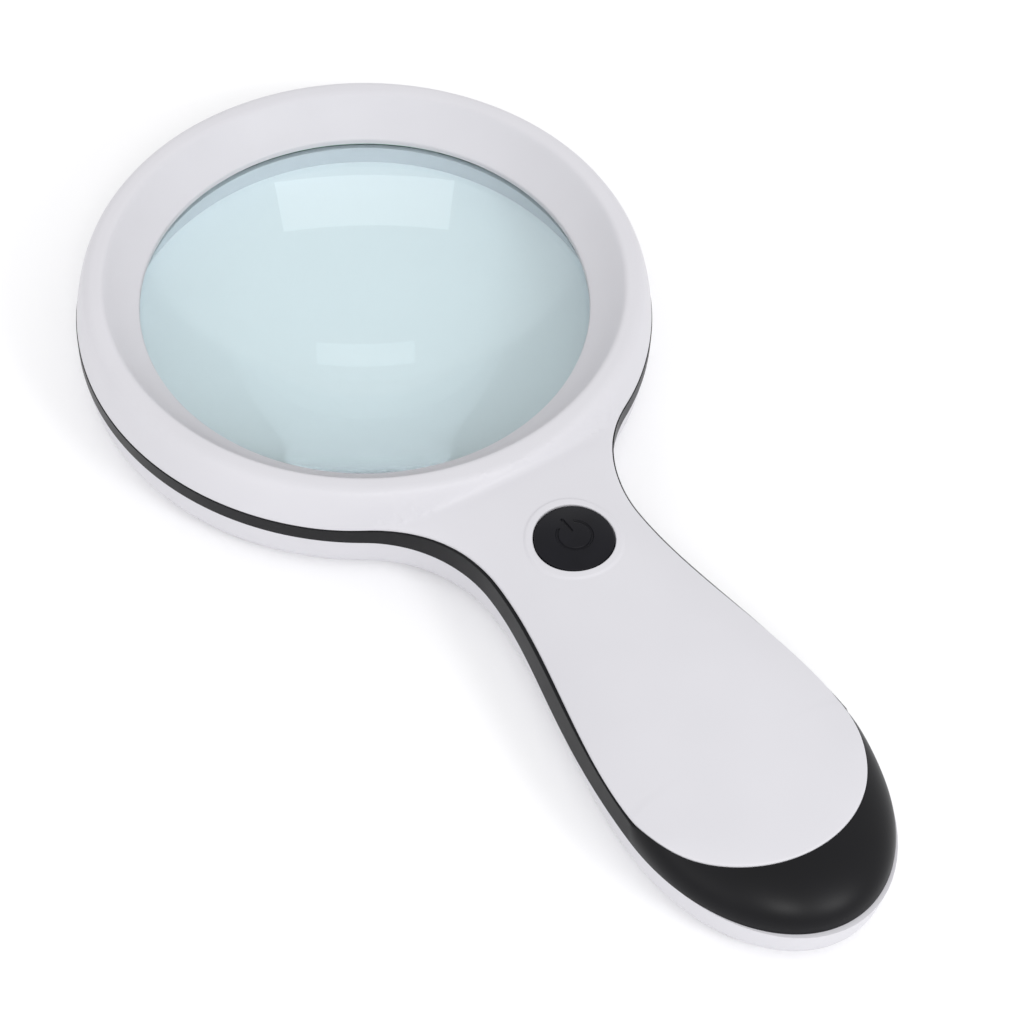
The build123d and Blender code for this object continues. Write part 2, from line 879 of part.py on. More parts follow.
def battery_spring(index):
    """Coil between a cell's flat end and its contact plate."""
    height = bay_spring_room - 2 * spring_wire - 0.1
    path = Helix(height / spring_turns, height, spring_radius)
    profile = Plane(path @ 0, z_dir=path % 0) * Circle(spring_wire / 2)
    coil = sweep(profile, path=path)
    x = battery_x(index)
    low = spring_wire / 2 + 0.15
    if battery_direction(index) > 0:
        y = bay_end_y() + contact_thickness + low
        return Pos(x, y, battery_z) * Rotation(-90, 0, 0) * coil
    return Pos(x, bay_start_y - contact_thickness - low, battery_z) * Rotation(90, 0, 0) * coil


def contact_plate(first, last, y_low):
    half = contact_half
    return block(
        battery_x(first) - half,
        battery_x(last) + half,
        y_low,
        y_low + contact_thickness,
        battery_z - half + 0.6,
        battery_z + half,
    )


def battery_contacts():
    """Four pressed plates: two single ends and two bridges that join the cells in series."""
    neck_y = bay_start_y - contact_thickness
    butt_low = bay_end_y()
    return {
        "contact_positive": contact_plate(0, 0, neck_y),
        "contact_bridge_neck": contact_plate(1, 2, neck_y),
        "contact_bridge_butt": contact_plate(0, 1, butt_low),
        "contact_negative": contact_plate(2, 2, butt_low),
    }


# ---------------------------------------------------------------- battery door
def battery_door():
    panel = (rear_body(0) - rear_body(wall)) & door_panel(door_gap)
    y_low = door_start_y - 2.0
    for side in (-1, 1):
        x = side * door_tab_x
        half = door_tab_width / 2
        panel += block(
            x - half, x + half, y_low, door_start_y + door_tab_length, wall + 0.1, wall + 1.3
        )
        panel += block(x - half, x + half, y_low, door_start_y - door_gap, wall - 0.5, wall + 1.3)
    end_y = door_end_y + door_gap
    half = latch_width / 2
    panel += block(-half, half, end_y, end_y + 1.2, wall - 0.5, wall + latch_length)
    for k in range(3):
        y = end_y + 4.0 + 1.8 * k
        panel -= block(-half - 1, half + 1, y, y + 0.8, -1, 0.4)
    return panel


# ---------------------------------------------------------------- screws and leads
def case_screw(x, y):
    head_low = screw_recess_depth - screw_head_height
    screw = post(x, y, screw_head_radius, head_low, screw_recess_depth)
    screw += post(x, y, screw_radius - 0.12, head_low, screw_tip_z - 0.4)
    for turn in (0, 90):
        slot = Box(2.6, 0.6, 1.0)
        screw -= Pos(x, y, head_low + 0.2) * Rotation(0, 0, turn) * slot
    return screw


def case_screws():
    return Compound(children=[case_screw(x, y) for x, y in screw_spots()])


def small_screw(x, y, board_top, depth):
    head_top = board_top + board_screw_head_height
    screw = post(x, y, board_screw_head_radius, board_top, head_top)
    screw += post(x, y, board_screw_radius - 0.05, board_top - depth, board_top + 0.5)
    for turn in (0, 90):
        screw -= Pos(x, y, head_top) * Rotation(0, 0, turn) * Box(2.2, 0.5, 0.9)
    return screw


def board_screws():
    top = main_board_z + board_thickness
    return Compound(children=[small_screw(x, y, top, 5.0) for x, y in board_screw_spots()])


def led_board_screws():
    top = led_board_z + led_board_thickness
    return Compound(children=[small_screw(x, y, top, 3.4) for x, y in led_post_spots()])


def lead(points, radius):
    """Insulated wire along straight runs joined by arcs."""
    path = FilletPolyline(*points, radius=radius)
    profile = Plane(path @ 0, z_dir=path % 0) * Circle(lead_radius)
    return sweep(profile, path=path)


def led_lead(x):
    """From the underside of the main board to the top of the lamp board."""
    start_y = main_board_start_y - 2.0
    end_y = -led_board_outer_radius + 2.4
    top = led_board_z + led_board_thickness
    points = [
        (x, start_y, main_board_z),
        (x, start_y, led_lead_run_z),
        (x, end_y, led_lead_run_z),
        (x, end_y, top),
    ]
    return lead(points, 0.6)


def battery_lead_red():
    """From the main board to the single plate at the neck end."""
    x = -battery_lead_x
    y = main_board_end_y + 3.0
    turn_y = battery_lead_turn_y
    points = [
        (x, y, main_board_z),
        (x, y, battery_lead_run_z),
        (x, turn_y, battery_lead_run_z),
        (battery_x(0), turn_y, battery_lead_run_z),
        (battery_x(0), turn_y, lead_hole_z),
        (battery_x(0), bay_start_y, lead_hole_z),
    ]
    return lead(points, 1.0)


def battery_lead_black():
    """From the main board over the battery bay to the single plate at the butt end."""
    x = battery_lead_x
    y = main_board_end_y + 3.0
    over_z = battery_z + battery_radius + battery_clear + bay_top_thickness + lead_radius + 0.1
    turn_y = bay_end_y() - bay_wall - 1.2
    points = [
        (x, y, main_board_z + board_thickness),
        (x, y, over_z),
        (x, turn_y, over_z),
        (x, turn_y, lead_hole_z),
        (battery_x(2), turn_y, lead_hole_z),
        (battery_x(2), bay_end_y(), lead_hole_z),
    ]
    return lead(points, 0.6)


# ---------------------------------------------------------------- build
def all_nodes():
    nodes = {
        "front_cover": front_cover(),
        "mid_frame": mid_frame(),
        "rear_cover": rear_cover(),
        "magnifier_lens": magnifier_lens(),
        "lens_gasket": lens_gasket(),
        "led_board": led_board(),
        "button_cap": button_cap(),
        "switch_body": switch_body(),
        "switch_frame": switch_frame(),
        "switch_plunger": switch_plunger(),
        "main_board": main_board(),
        "driver_chip": driver_chip(),
        "board_resistors": board_resistors(),
        "battery_door": battery_door(),
        "case_screws": case_screws(),
        "board_screws": board_screws(),
        "led_board_screws": led_board_screws(),
        "led_lead_red": led_lead(-led_lead_x),
        "led_lead_black": led_lead(led_lead_x),
        "battery_lead_red": battery_lead_red(),
        "battery_lead_black": battery_lead_black(),
    }
    for index, (x, y) in enumerate(led_spots()):
        nodes[f"led_{index + 1:02d}"] = led_lamp(x, y)
    for index in range(battery_count):
        nodes[f"battery_{index + 1}"] = battery(index)
        nodes[f"battery_spring_{index + 1}"] = battery_spring(index)
    nodes.update(battery_contacts())
    return nodes


def main():
    os.makedirs("parts", exist_ok=True)
    for name, shape in all_nodes().items():
        export_step(Pos(0, shift_y, 0) * shape, f"parts/{name}.step")
        print(name, round(shape.volume, 1))


if __name__ == "__main__":
    main()
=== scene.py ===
import json
import math

import bmesh
import bpy
from mathutils import Matrix, Vector, geometry


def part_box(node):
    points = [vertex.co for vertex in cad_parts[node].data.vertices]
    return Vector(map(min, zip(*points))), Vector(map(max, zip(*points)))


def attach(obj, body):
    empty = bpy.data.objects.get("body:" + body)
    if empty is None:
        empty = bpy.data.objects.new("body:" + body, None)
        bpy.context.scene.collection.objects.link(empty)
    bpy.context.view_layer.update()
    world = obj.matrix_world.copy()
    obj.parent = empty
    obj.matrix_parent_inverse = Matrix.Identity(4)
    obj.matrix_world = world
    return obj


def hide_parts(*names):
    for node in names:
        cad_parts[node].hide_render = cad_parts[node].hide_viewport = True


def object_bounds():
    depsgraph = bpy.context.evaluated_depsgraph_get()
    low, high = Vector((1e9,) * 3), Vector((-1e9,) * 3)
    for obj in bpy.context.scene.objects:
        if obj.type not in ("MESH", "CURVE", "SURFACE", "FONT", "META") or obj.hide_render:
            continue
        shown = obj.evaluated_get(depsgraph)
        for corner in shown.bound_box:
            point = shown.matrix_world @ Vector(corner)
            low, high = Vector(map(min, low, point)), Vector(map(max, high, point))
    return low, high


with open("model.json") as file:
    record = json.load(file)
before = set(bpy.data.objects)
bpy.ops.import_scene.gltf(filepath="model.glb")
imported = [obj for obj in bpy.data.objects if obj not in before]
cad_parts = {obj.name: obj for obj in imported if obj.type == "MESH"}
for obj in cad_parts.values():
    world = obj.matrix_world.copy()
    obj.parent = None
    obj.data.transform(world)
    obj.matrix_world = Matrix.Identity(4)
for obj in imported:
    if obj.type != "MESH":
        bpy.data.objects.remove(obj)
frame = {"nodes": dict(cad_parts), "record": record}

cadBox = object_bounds()
scene = bpy.context.scene
millimetre = 0.001


# sRGB hex to the linear colour that the shaders work in
def linearColour(hexText, alpha=1.0):
    parts = [int(hexText[i:i + 2], 16) / 255 for i in (1, 3, 5)]
    return [p / 12.92 if p <= 0.04045 else ((p + 0.055) / 1.055) ** 2.4 for p in parts] + [alpha]


# one node, its settings and what feeds it
def addNode(tree, kind, settings=None, links=None):
    node = tree.nodes.new(kind)
    for key, value in (settings or {}).items():
        if key in node.inputs:
            node.inputs[key].default_value = value
        else:
            setattr(node, key, value)
    for key, source in (links or {}).items():
        tree.links.new(source, node.inputs[key])
    return node


def newMaterial(name):
    made = bpy.data.materials.new(name)
    made.use_nodes = True
    made.node_tree.nodes.clear()
    return made, made.node_tree


def closeMaterial(tree, shader):
    addNode(tree, "ShaderNodeOutputMaterial", links={"Surface": shader})


# how often a pattern of that real size repeats, for a noise that works in metres
def perMetre(sizeInMm):
    return 1 / (sizeInMm * millimetre)


# ------------------------------------------------ camera
cameraPlan = {
    "azimuth": -35.3,        # degrees round the object from its butt end
    "elevation": 52.2,
    "roll": 3.2,
    "distance": 0.5487,      # metres from the point aimed at
    "aimOffset": (-0.0028, -0.0064, 0.0),   # from the middle of the body
    "lensLength": 91.4,
}


def makeCamera(plan):
    low, high = cadBox
    aim = (low + high) / 2 + Vector(plan["aimOffset"])
    azimuth, elevation = math.radians(plan["azimuth"]), math.radians(plan["elevation"])
    away = Vector((
        math.sin(azimuth) * math.cos(elevation),
        -math.cos(azimuth) * math.cos(elevation),
        math.sin(elevation),
    ))
    data = bpy.data.cameras.new("studioCamera")
    data.lens = plan["lensLength"]
    camera = bpy.data.objects.new("studioCamera", data)
    scene.collection.objects.link(camera)
    turn = (-away).to_track_quat("-Z", "Y").to_matrix().to_4x4()
    camera.matrix_world = (
        Matrix.Translation(aim + away * plan["distance"])
        @ turn @ Matrix.Rotation(math.radians(plan["roll"]), 4, "Z")
    )
    scene.camera = camera
    print("camera placed")


makeCamera(cameraPlan)

# ------------------------------------------------ studio
studioPlan = {
    "floorColour": "#FBFBFC",
    "skyColour": "#FFFFFF",
    "skyStrength": 0.95,
    "floorHalfWidth": 6.0,
    "floorGapMm": 0.1,       # keeps the floor clear of the object's flat back
    "lights": {
        # place and aim in metres, size of the soft box, power in watts
        "keySoftbox": {"place": (0.58, 1.05, 0.68), "size": (0.42, 0.26), "power": 0.4},
        "frontSoftbox": {"place": (0.35, -1.3, 0.95), "size": (0.4, 0.3), "power": 5.0},
        "leftSoftbox": {"place": (-0.55, -1.1, 1.15), "size": (0.35, 0.35), "power": 4.0},
        "sideSoftbox": {"place": (-1.4, -0.3, 0.9), "size": (0.9, 0.7), "power": 1.6},
    },
}


def makeStudio(plan):
    world = bpy.data.worlds.new("paleStudio")
    world.use_nodes = True
    background = world.node_tree.nodes["Background"]
    background.inputs["Color"].default_value = linearColour(plan["skyColour"])
    background.inputs["Strength"].default_value = plan["skyStrength"]
    scene.world = world
    scene.view_settings.view_transform = "Standard"

    mesh = bpy.data.meshes.new("floor")
    shape = bmesh.new()
    bmesh.ops.create_grid(shape, x_segments=8, y_segments=8, size=plan["floorHalfWidth"])
    shape.to_mesh(mesh)
    shape.free()
    floor = bpy.data.objects.new("floor", mesh)
    floor.location.z = cadBox[0].z - plan["floorGapMm"] * millimetre
    scene.collection.objects.link(floor)
    made, tree = newMaterial("mattFloorPaper")   # a flat sheet of seamless paper, matt and even
    shader = addNode(tree, "ShaderNodeBsdfPrincipled", {
        "Base Color": linearColour(plan["floorColour"]), "Roughness": 0.9,
        "Specular IOR Level": 0.1,
    })
    closeMaterial(tree, shader.outputs[0])
    mesh.materials.append(made)

    for name, one in plan["lights"].items():
        data = bpy.data.lights.new(name, "AREA")
        data.shape = "RECTANGLE"
        data.size, data.size_y = one["size"]
        data.energy = one["power"]
        light = bpy.data.objects.new(name, data)
        light.location = one["place"]
        light.rotation_mode = "QUATERNION"
        light.rotation_quaternion = (-Vector(one["place"])).to_track_quat("-Z", "Y")
        scene.collection.objects.link(light)
    print("studio lit")


makeStudio(studioPlan)


# ------------------------------------------------ finishes
# Moulded ABS: opaque, an even satin skin with a very fine spark-eroded grain from the mould.
# It gives the eye broad soft highlights and a faint orange-peel where a lamp glances off it.
def mouldedAbs(name, look):
    made, tree = newMaterial(name)
    where = addNode(tree, "ShaderNodeTexCoord")
    grain = addNode(
        tree, "ShaderNodeTexNoise",
        {"Scale": perMetre(look["grainMm"]), "Detail": 4.0, "Roughness": 0.6},
        {"Vector": where.outputs["Object"]},
    )
    flow = addNode(     # slow change of gloss, as the melt cooled
        tree, "ShaderNodeTexNoise",
        {"Scale": perMetre(look["flowMm"]), "Detail": 2.0},
        {"Vector": where.outputs["Object"]},
    )
    flowLow, flowHigh = 0.3, 0.7        # the noise seldom goes past these
    glossSpread = 0.03
    tint = addNode(tree, "ShaderNodeValToRGB", links={"Fac": flow.outputs[0]})
    tint.color_ramp.elements[0].position = flowLow
    tint.color_ramp.elements[0].color = linearColour(look["shade"])
    tint.color_ramp.elements[1].position = flowHigh
    tint.color_ramp.elements[1].color = linearColour(look["colour"])
    gloss = addNode(
        tree, "ShaderNodeMapRange",
        {
            "From Min": flowLow, "From Max": flowHigh,
            "To Min": look["roughness"] - glossSpread, "To Max": look["roughness"] + glossSpread,
        },
        {"Value": flow.outputs[0]},
    )
    bump = addNode(
        tree, "ShaderNodeBump",
        {"Strength": look["grainStrength"], "Distance": look["grainDepthMm"] * millimetre},
        {"Height": grain.outputs[0]},
    )
    shader = addNode(
        tree, "ShaderNodeBsdfPrincipled",
        {"IOR": 1.53, "Specular IOR Level": look.get("specular", 0.5)},
        {"Base Color": tint.outputs[0], "Roughness": gloss.outputs[0], "Normal": bump.outputs[0]},
    )
    closeMaterial(tree, shader.outputs[0])
    return made


whiteCasing = mouldedAbs("mouldedAbsWhite", {
    "colour": "#CFCED3", "shade": "#CCCBD0", "roughness": 0.42,
    "grainMm": 0.35, "flowMm": 28.0, "grainStrength": 0.12, "grainDepthMm": 0.02, "specular": 0.35,
})
blackCasing = mouldedAbs("mouldedAbsBlack", {
    "colour": "#0C0C10", "shade": "#09090C", "roughness": 0.36,
    "grainMm": 0.45, "flowMm": 18.0, "grainStrength": 0.3, "grainDepthMm": 0.03, "specular": 0.18,
})
buttonPlastic = mouldedAbs("mouldedAbsButton", {
    "colour": "#17171C", "shade": "#141418", "roughness": 0.38,
    "grainMm": 0.4, "flowMm": 6.0, "grainStrength": 0.3, "grainDepthMm": 0.03, "specular": 0.11,
})


# Nitrile rubber, compression moulded: matt black, slightly dusty.
def mouldedRubber(look):
    made, tree = newMaterial("mouldedNitrileRubber")
    where = addNode(tree, "ShaderNodeTexCoord")
    dust = addNode(
        tree, "ShaderNodeTexNoise",
        {"Scale": perMetre(look["dustMm"]), "Detail": 6.0},
        {"Vector": where.outputs["Object"]},
    )
    tone = addNode(tree, "ShaderNodeValToRGB", links={"Fac": dust.outputs[0]})
    tone.color_ramp.elements[0].color = linearColour(look["colour"])
    tone.color_ramp.elements[1].color = linearColour(look["dust"])
    bump = addNode(
        tree, "ShaderNodeBump",
        {"Strength": 0.3, "Distance": 0.05 * millimetre}, {"Height": dust.outputs[0]},
    )
    shader = addNode(
        tree, "ShaderNodeBsdfPrincipled",
        {"Roughness": 0.75, "IOR": 1.52},
        {"Base Color": tone.outputs[0], "Normal": bump.outputs[0]},
    )
    closeMaterial(tree, shader.outputs[0])
    return made


# Glass-fibre board under green solder mask: glossy, with paler copper tracks showing through.
def solderMask(look):
    made, tree = newMaterial("solderMaskedBoard")
    where = addNode(tree, "ShaderNodeTexCoord")
    tracks = addNode(
        tree, "ShaderNodeTexBrick",
        {
            "Scale": perMetre(look["trackMm"]), "Mortar Size": 0.08,
            "Brick Width": 3.0, "Row Height": 0.5,
            "Color1": linearColour(look["mask"]), "Color2": linearColour(look["maskDeep"]),
            "Mortar": linearColour(look["track"]),
        },
        {"Vector": where.outputs["Object"]},
    )
    bump = addNode(
        tree, "ShaderNodeBump",
        {"Strength": 0.4, "Distance": 0.03 * millimetre}, {"Height": tracks.outputs["Fac"]},
    )
    shader = addNode(
        tree, "ShaderNodeBsdfPrincipled",
        {"Roughness": 0.28, "IOR": 1.55},
        {"Base Color": tracks.outputs["Color"], "Normal": bump.outputs[0]},
    )
    closeMaterial(tree, shader.outputs[0])
    return made


# Sheet or wire steel with a plated skin: bright, with fine drawn lines along it.
def platedSteel(name, look):
    made, tree = newMaterial(name)
    where = addNode(tree, "ShaderNodeTexCoord")
    stretch = addNode(
        tree, "ShaderNodeMapping", {"Scale": (1.0, 0.08, 1.0)}, {"Vector": where.outputs["Object"]},
    )
    lines = addNode(
        tree, "ShaderNodeTexNoise",
        {"Scale": perMetre(look["lineMm"]), "Detail": 5.0}, {"Vector": stretch.outputs[0]},
    )
    glossSpread = 0.08
    gloss = addNode(
        tree, "ShaderNodeMapRange",
        {"To Min": look["roughness"] - glossSpread, "To Max": look["roughness"] + glossSpread},
        {"Value": lines.outputs[0]},
    )
    tone = addNode(tree, "ShaderNodeValToRGB", links={"Fac": lines.outputs[0]})
    tone.color_ramp.elements[0].color = linearColour(look["shade"])
    tone.color_ramp.elements[1].color = linearColour(look["colour"])
    shader = addNode(
        tree, "ShaderNodeBsdfPrincipled", {"Metallic": 1.0},
        {"Base Color": tone.outputs[0], "Roughness": gloss.outputs[0]},
    )
    closeMaterial(tree, shader.outputs[0])
    return made


# Printed shrink film over the cell's can: smooth and glossy, with a slight ripple.
def shrinkFilm(look):
    made, tree = newMaterial("shrunkPvcFilm")
    where = addNode(tree, "ShaderNodeTexCoord")
    ripple = addNode(
        tree, "ShaderNodeTexNoise", {"Scale": perMetre(look["rippleMm"]), "Detail": 2.0},
        {"Vector": where.outputs["Object"]},
    )
    tone = addNode(tree, "ShaderNodeValToRGB", links={"Fac": ripple.outputs[0]})
    tone.color_ramp.elements[0].color = linearColour(look["shade"])
    tone.color_ramp.elements[1].color = linearColour(look["colour"])
    bump = addNode(
        tree, "ShaderNodeBump",
        {"Strength": 0.25, "Distance": 0.1 * millimetre}, {"Height": ripple.outputs[0]},
    )
    shader = addNode(
        tree, "ShaderNodeBsdfPrincipled",
        {"Metallic": 0.5, "Roughness": 0.26},
        {"Base Color": tone.outputs[0], "Normal": bump.outputs[0]},
    )
    closeMaterial(tree, shader.outputs[0])
    return made


# Clear silicone over a yellow phosphor: the lamp looks pale yellow and slightly milky
# when it is off.
def phosphorResin(look):
    made, tree = newMaterial("siliconeOverPhosphor")
    where = addNode(tree, "ShaderNodeTexCoord")
    grains = addNode(
        tree, "ShaderNodeTexNoise", {"Scale": perMetre(look["grainMm"]), "Detail": 3.0},
        {"Vector": where.outputs["Object"]},
    )
    tone = addNode(tree, "ShaderNodeValToRGB", links={"Fac": grains.outputs[0]})
    tone.color_ramp.elements[0].color = linearColour(look["phosphor"])
    tone.color_ramp.elements[1].color = linearColour(look["resin"])
    shader = addNode(
        tree, "ShaderNodeBsdfPrincipled",
        {"Roughness": 0.12, "IOR": 1.41, "Coat Weight": 0.6, "Coat Roughness": 0.04},
        {"Base Color": tone.outputs[0]},
    )
    closeMaterial(tree, shader.outputs[0])
    return made


slotMaterials = {
    "white_plastic": whiteCasing,
    "black_plastic": blackCasing,
    "button_plastic": buttonPlastic,
    "seal_rubber": mouldedRubber({"colour": "#1A1A1B", "dust": "#2A2A2C", "dustMm": 1.2}),
    "circuit_board": solderMask({
        "mask": "#12592F", "maskDeep": "#0F4E29", "track": "#2C7A47", "trackMm": 2.4,
    }),
    "switch_plastic": mouldedAbs("mouldedEpoxy", {
        "colour": "#2A2A2B", "shade": "#202021", "roughness": 0.55,
        "grainMm": 0.2, "flowMm": 3.0, "grainStrength": 0.3, "grainDepthMm": 0.02,
    }),
    "plated_steel": platedSteel("nickelPlatedSteel", {
        "colour": "#DAD6CC", "shade": "#B8B3A8", "roughness": 0.24, "lineMm": 0.3,
    }),
    "screw_steel": platedSteel("zincPlatedSteel", {
        "colour": "#C9CCD0", "shade": "#9DA1A6", "roughness": 0.34, "lineMm": 0.25,
    }),
    "led_resin": phosphorResin({"phosphor": "#E8D36A", "resin": "#F3EFD2", "grainMm": 0.3}),
    "cell_jacket": shrinkFilm({"colour": "#4C5560", "shade": "#3C444D", "rippleMm": 9.0}),
    "red_wire": mouldedAbs("extrudedPvcRed", {
        "colour": "#B3221C", "shade": "#9F1D18", "roughness": 0.42,
        "grainMm": 0.3, "flowMm": 4.0, "grainStrength": 0.1, "grainDepthMm": 0.01,
    }),
    "black_wire": mouldedAbs("extrudedPvcBlack", {
        "colour": "#222224", "shade": "#1B1B1D", "roughness": 0.42,
        "grainMm": 0.3, "flowMm": 4.0, "grainStrength": 0.1, "grainDepthMm": 0.01,
    }),
}


def dressNodes():
    for entry in frame["record"]["subparts"]:
        finish = slotMaterials.get(entry["material_slot"])
        if finish is None:
            continue
        node = frame["nodes"][entry["node"]]
        node.data.materials.clear()
        node.data.materials.append(finish)
    print("finishes given to", len(slotMaterials), "slots")


dressNodes()


# ------------------------------------------------ lens
lensPlan = {
    "turns": 192,
    "across": 24,
    "edgeMm": 2.6,
    "bevelMm": 0.5,
    "rimClearMm": 0.01,         # kept inside the solid's own rim
    "rimBandMm": 0.1,           # faces past this from the rim are ground, not polished
    "sawMarkMm": 0.8,
    "tint": "#E9F2F4",
    "edgeTint": "#CFE2DA",
}


# Cast acrylic: clear, polished on both faces; its bulk takes a faint blue-green tint.
def castAcrylic(look):
    made, tree = newMaterial("castAcrylicLens")
    shader = addNode(tree, "ShaderNodeBsdfPrincipled", {
        "Base Color": linearColour(look["tint"]), "Transmission Weight": 1.0,
        "IOR": 1.49, "Roughness": 0.0,
    })
    # lamps and sky still light what lies under the lens
    rays = addNode(tree, "ShaderNodeLightPath")
    clear = addNode(tree, "ShaderNodeBsdfTransparent", {"Color": linearColour(look["tint"])})
    mixed = addNode(tree, "ShaderNodeMixShader", links={
        0: rays.outputs["Is Shadow Ray"], 1: shader.outputs[0], 2: clear.outputs[0],
    })
    closeMaterial(tree, mixed.outputs[0])
    return made


# Sawn and ground rim of the same acrylic: matt, pale green where light gathers in the edge.
def groundAcrylic(look):
    made, tree = newMaterial("groundAcrylicRim")
    where = addNode(tree, "ShaderNodeTexCoord")
    marks = addNode(
        tree, "ShaderNodeTexNoise",
        {"Scale": perMetre(look["sawMarkMm"]), "Detail": 4.0},
        {"Vector": where.outputs["Object"]},
    )
    bump = addNode(
        tree, "ShaderNodeBump",
        {"Strength": 0.2, "Distance": 0.02 * millimetre}, {"Height": marks.outputs[0]},
    )
    shader = addNode(
        tree, "ShaderNodeBsdfPrincipled",
        {"Base Color": linearColour(look["edgeTint"]), "Roughness": 0.5, "IOR": 1.49},
        {"Normal": bump.outputs[0]},
    )
    closeMaterial(tree, shader.outputs[0])
    return made


# closed surface of revolution from (radius, height) points; the sharp ones keep a crisp edge
def turnedMesh(name, points, sharp, turns):
    shape = bmesh.new()
    rings = []
    for radius, height in points:
        if radius == 0:
            rings.append([shape.verts.new((0, 0, height))])
            continue
        ring = []
        for k in range(turns):
            angle = 2 * math.pi * k / turns
            x, y = radius * math.cos(angle), radius * math.sin(angle)
            ring.append(shape.verts.new((x, y, height)))
        rings.append(ring)
    for ring, after in zip(rings, rings[1:]):
        for k in range(turns):
            j = (k + 1) % turns
            if len(ring) == 1:
                shape.faces.new((ring[0], after[k], after[j]))
            elif len(after) == 1:
                shape.faces.new((ring[k], after[0], ring[j]))
            else:
                shape.faces.new((ring[k], after[k], after[j], ring[j]))
    bmesh.ops.recalc_face_normals(shape, faces=shape.faces)
    for face in shape.faces:
        face.smooth = True
    for index in sharp:
        ring = rings[index]
        for k in range(turns):
            shape.edges.get((ring[k], ring[(k + 1) % turns])).smooth = False
    mesh = bpy.data.meshes.new(name)
    shape.to_mesh(mesh)
    shape.free()
    piece = bpy.data.objects.new(name, mesh)
    scene.collection.objects.link(piece)
    return piece


def makeLens(plan):
    low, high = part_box("magnifier_lens")
    centre = (low + high) / 2
    radius = (high.x - low.x) / 2 - plan["rimClearMm"] * millimetre
    bevel = plan["bevelMm"] * millimetre
    edge = plan["edgeMm"] * millimetre / 2
    sag = (high.z - low.z) / 2 - edge
    rim = radius - bevel
    bend = (rim * rim + sag * sag) / (2 * sag)          # radius of the polished face
    polished = []
    for k in range(plan["across"] + 1):
        out = rim * k / plan["across"]
        polished.append((out, edge - (bend - sag) + math.sqrt(bend * bend - out * out)))
    points = polished + [(radius, edge - bevel), (radius, bevel - edge)]
    points += [(r, -h) for r, h in reversed(polished)]
    last = len(polished) - 1
    lens = turnedMesh("lensFine", points, (last, last + 1, last + 2, last + 3), plan["turns"])
    lens.location = centre
    lens.data.materials.append(castAcrylic(plan))
    lens.data.materials.append(groundAcrylic(plan))
    for face in lens.data.polygons:
        if math.hypot(face.center.x, face.center.y) > rim - plan["rimBandMm"] * millimetre:
            face.material_index = 1
    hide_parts("magnifier_lens")
    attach(lens, "root")
    print("lens turned")


makeLens(lensPlan)

# ------------------------------------------------ casing shape
# Millimetres here: x and y from the lens axis, z up from the flat back.
lensLow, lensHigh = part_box("magnifier_lens")
frameLow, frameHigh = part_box("mid_frame")
axisY = (lensLow.y + lensHigh.y) / 2
ringRadius = (frameHigh.x - frameLow.x) / 2 / millimetre
buttY = (frameLow.y - axisY) / millimetre

casingPlan = {
    "rearSplitZ": 11.2,                 # rear cover meets the middle frame
    "frontSplitZ": 14.9,                # middle frame meets the front cover round the ring
    "neckSplitZ": 16.7,
    "bellySplitZ": 16.0,
    "splitRiseY": (-48.0, -72.0),       # the joint line climbs between these
    "ridgeRadius": 57.65,
    "ridgeZ": 25.05,
    "ridgeSoftness": 1.5,
    "ridgeCapAbove": 0.03,              # nothing rises past the crest by more than this
    "ridgeCapSoftness": 0.4,
    "insideSlope": 0.1,                 # rise per mm inside the crest, cut by the lens slope
    "shoulderDrop": 9.4,                # from the crest down to the cover's edge
    "shoulderFullness": 5.0,
    "edgeSlope": 3.0,
    "openingRadius": 50.0,
    "openingZ": 17.0,
    "slopeHollow": 0.5,                 # depth of the slope's hollow, half way down
    "slopeReach": 4.0,                  # the slope still rounds the crest this far outside it
    "waistCrownZ": 22.7,
    "endCrownZ": 20.35,
    "crownExponent": 2.6,
    "handleFadeY": -54.0,               # past here the handle's crown dives under the ring
    "handleFade": 0.35,
    "coverLip": 0.8,
    "hollowSize": 11.0,                 # reach of the soft hollow between ring and handle
    "hollowFullAbove": 6.0,             # height over the cover's edge where it has its full reach
    "hollowLeast": 0.05,
    "hollowFadeIn": 4.0,
    "domeHeight": 11.05,
    "domePower": 2.1,
    "domeSidePower": 0.8,               # squarer towards the two sides
    "domeSideReach": 30,
    "domeReveal": 0.4,                  # how far the cover stands above the end dome
    "endMeetY": -132.0,                 # the cover starts to follow the dome here
    "endMeetSpan": 14.0,
    "endSoftness": 1.2,
}

# Half widths at waist and belly, radii of ring and neck, and how far the side swells between.
bandOutline = {
    "ring": ringRadius, "waist": 18.5, "neck": 30.5,
    "belly": 26.4, "bellyY": -144.0, "end": buttY + 0.9, "swell": 0.7,
}
bandTopOutline = {
    "ring": ringRadius, "waist": 18.1, "neck": 30.9,
    "belly": 25.75, "bellyY": -144.0, "end": buttY + 1.4, "swell": 0.2,
}
coverOutline = {
    "ring": ringRadius - 0.2, "waist": 17.5, "neck": 31.5,
    "belly": 25.4, "bellyY": -141.0, "end": -167.2, "swell": 0.0,
}


def inset(outline, amount):
    return {
        "ring": outline["ring"] - amount, "waist": outline["waist"] - amount,
        "neck": outline["neck"] + amount, "belly": outline["belly"] - amount,
        "bellyY": outline["bellyY"], "end": outline["end"] + amount, "swell": outline["swell"],
    }


def waistY(outline):
    reach = outline["ring"] + outline["neck"]
    return -math.sqrt(reach ** 2 - (outline["waist"] + outline["neck"]) ** 2)


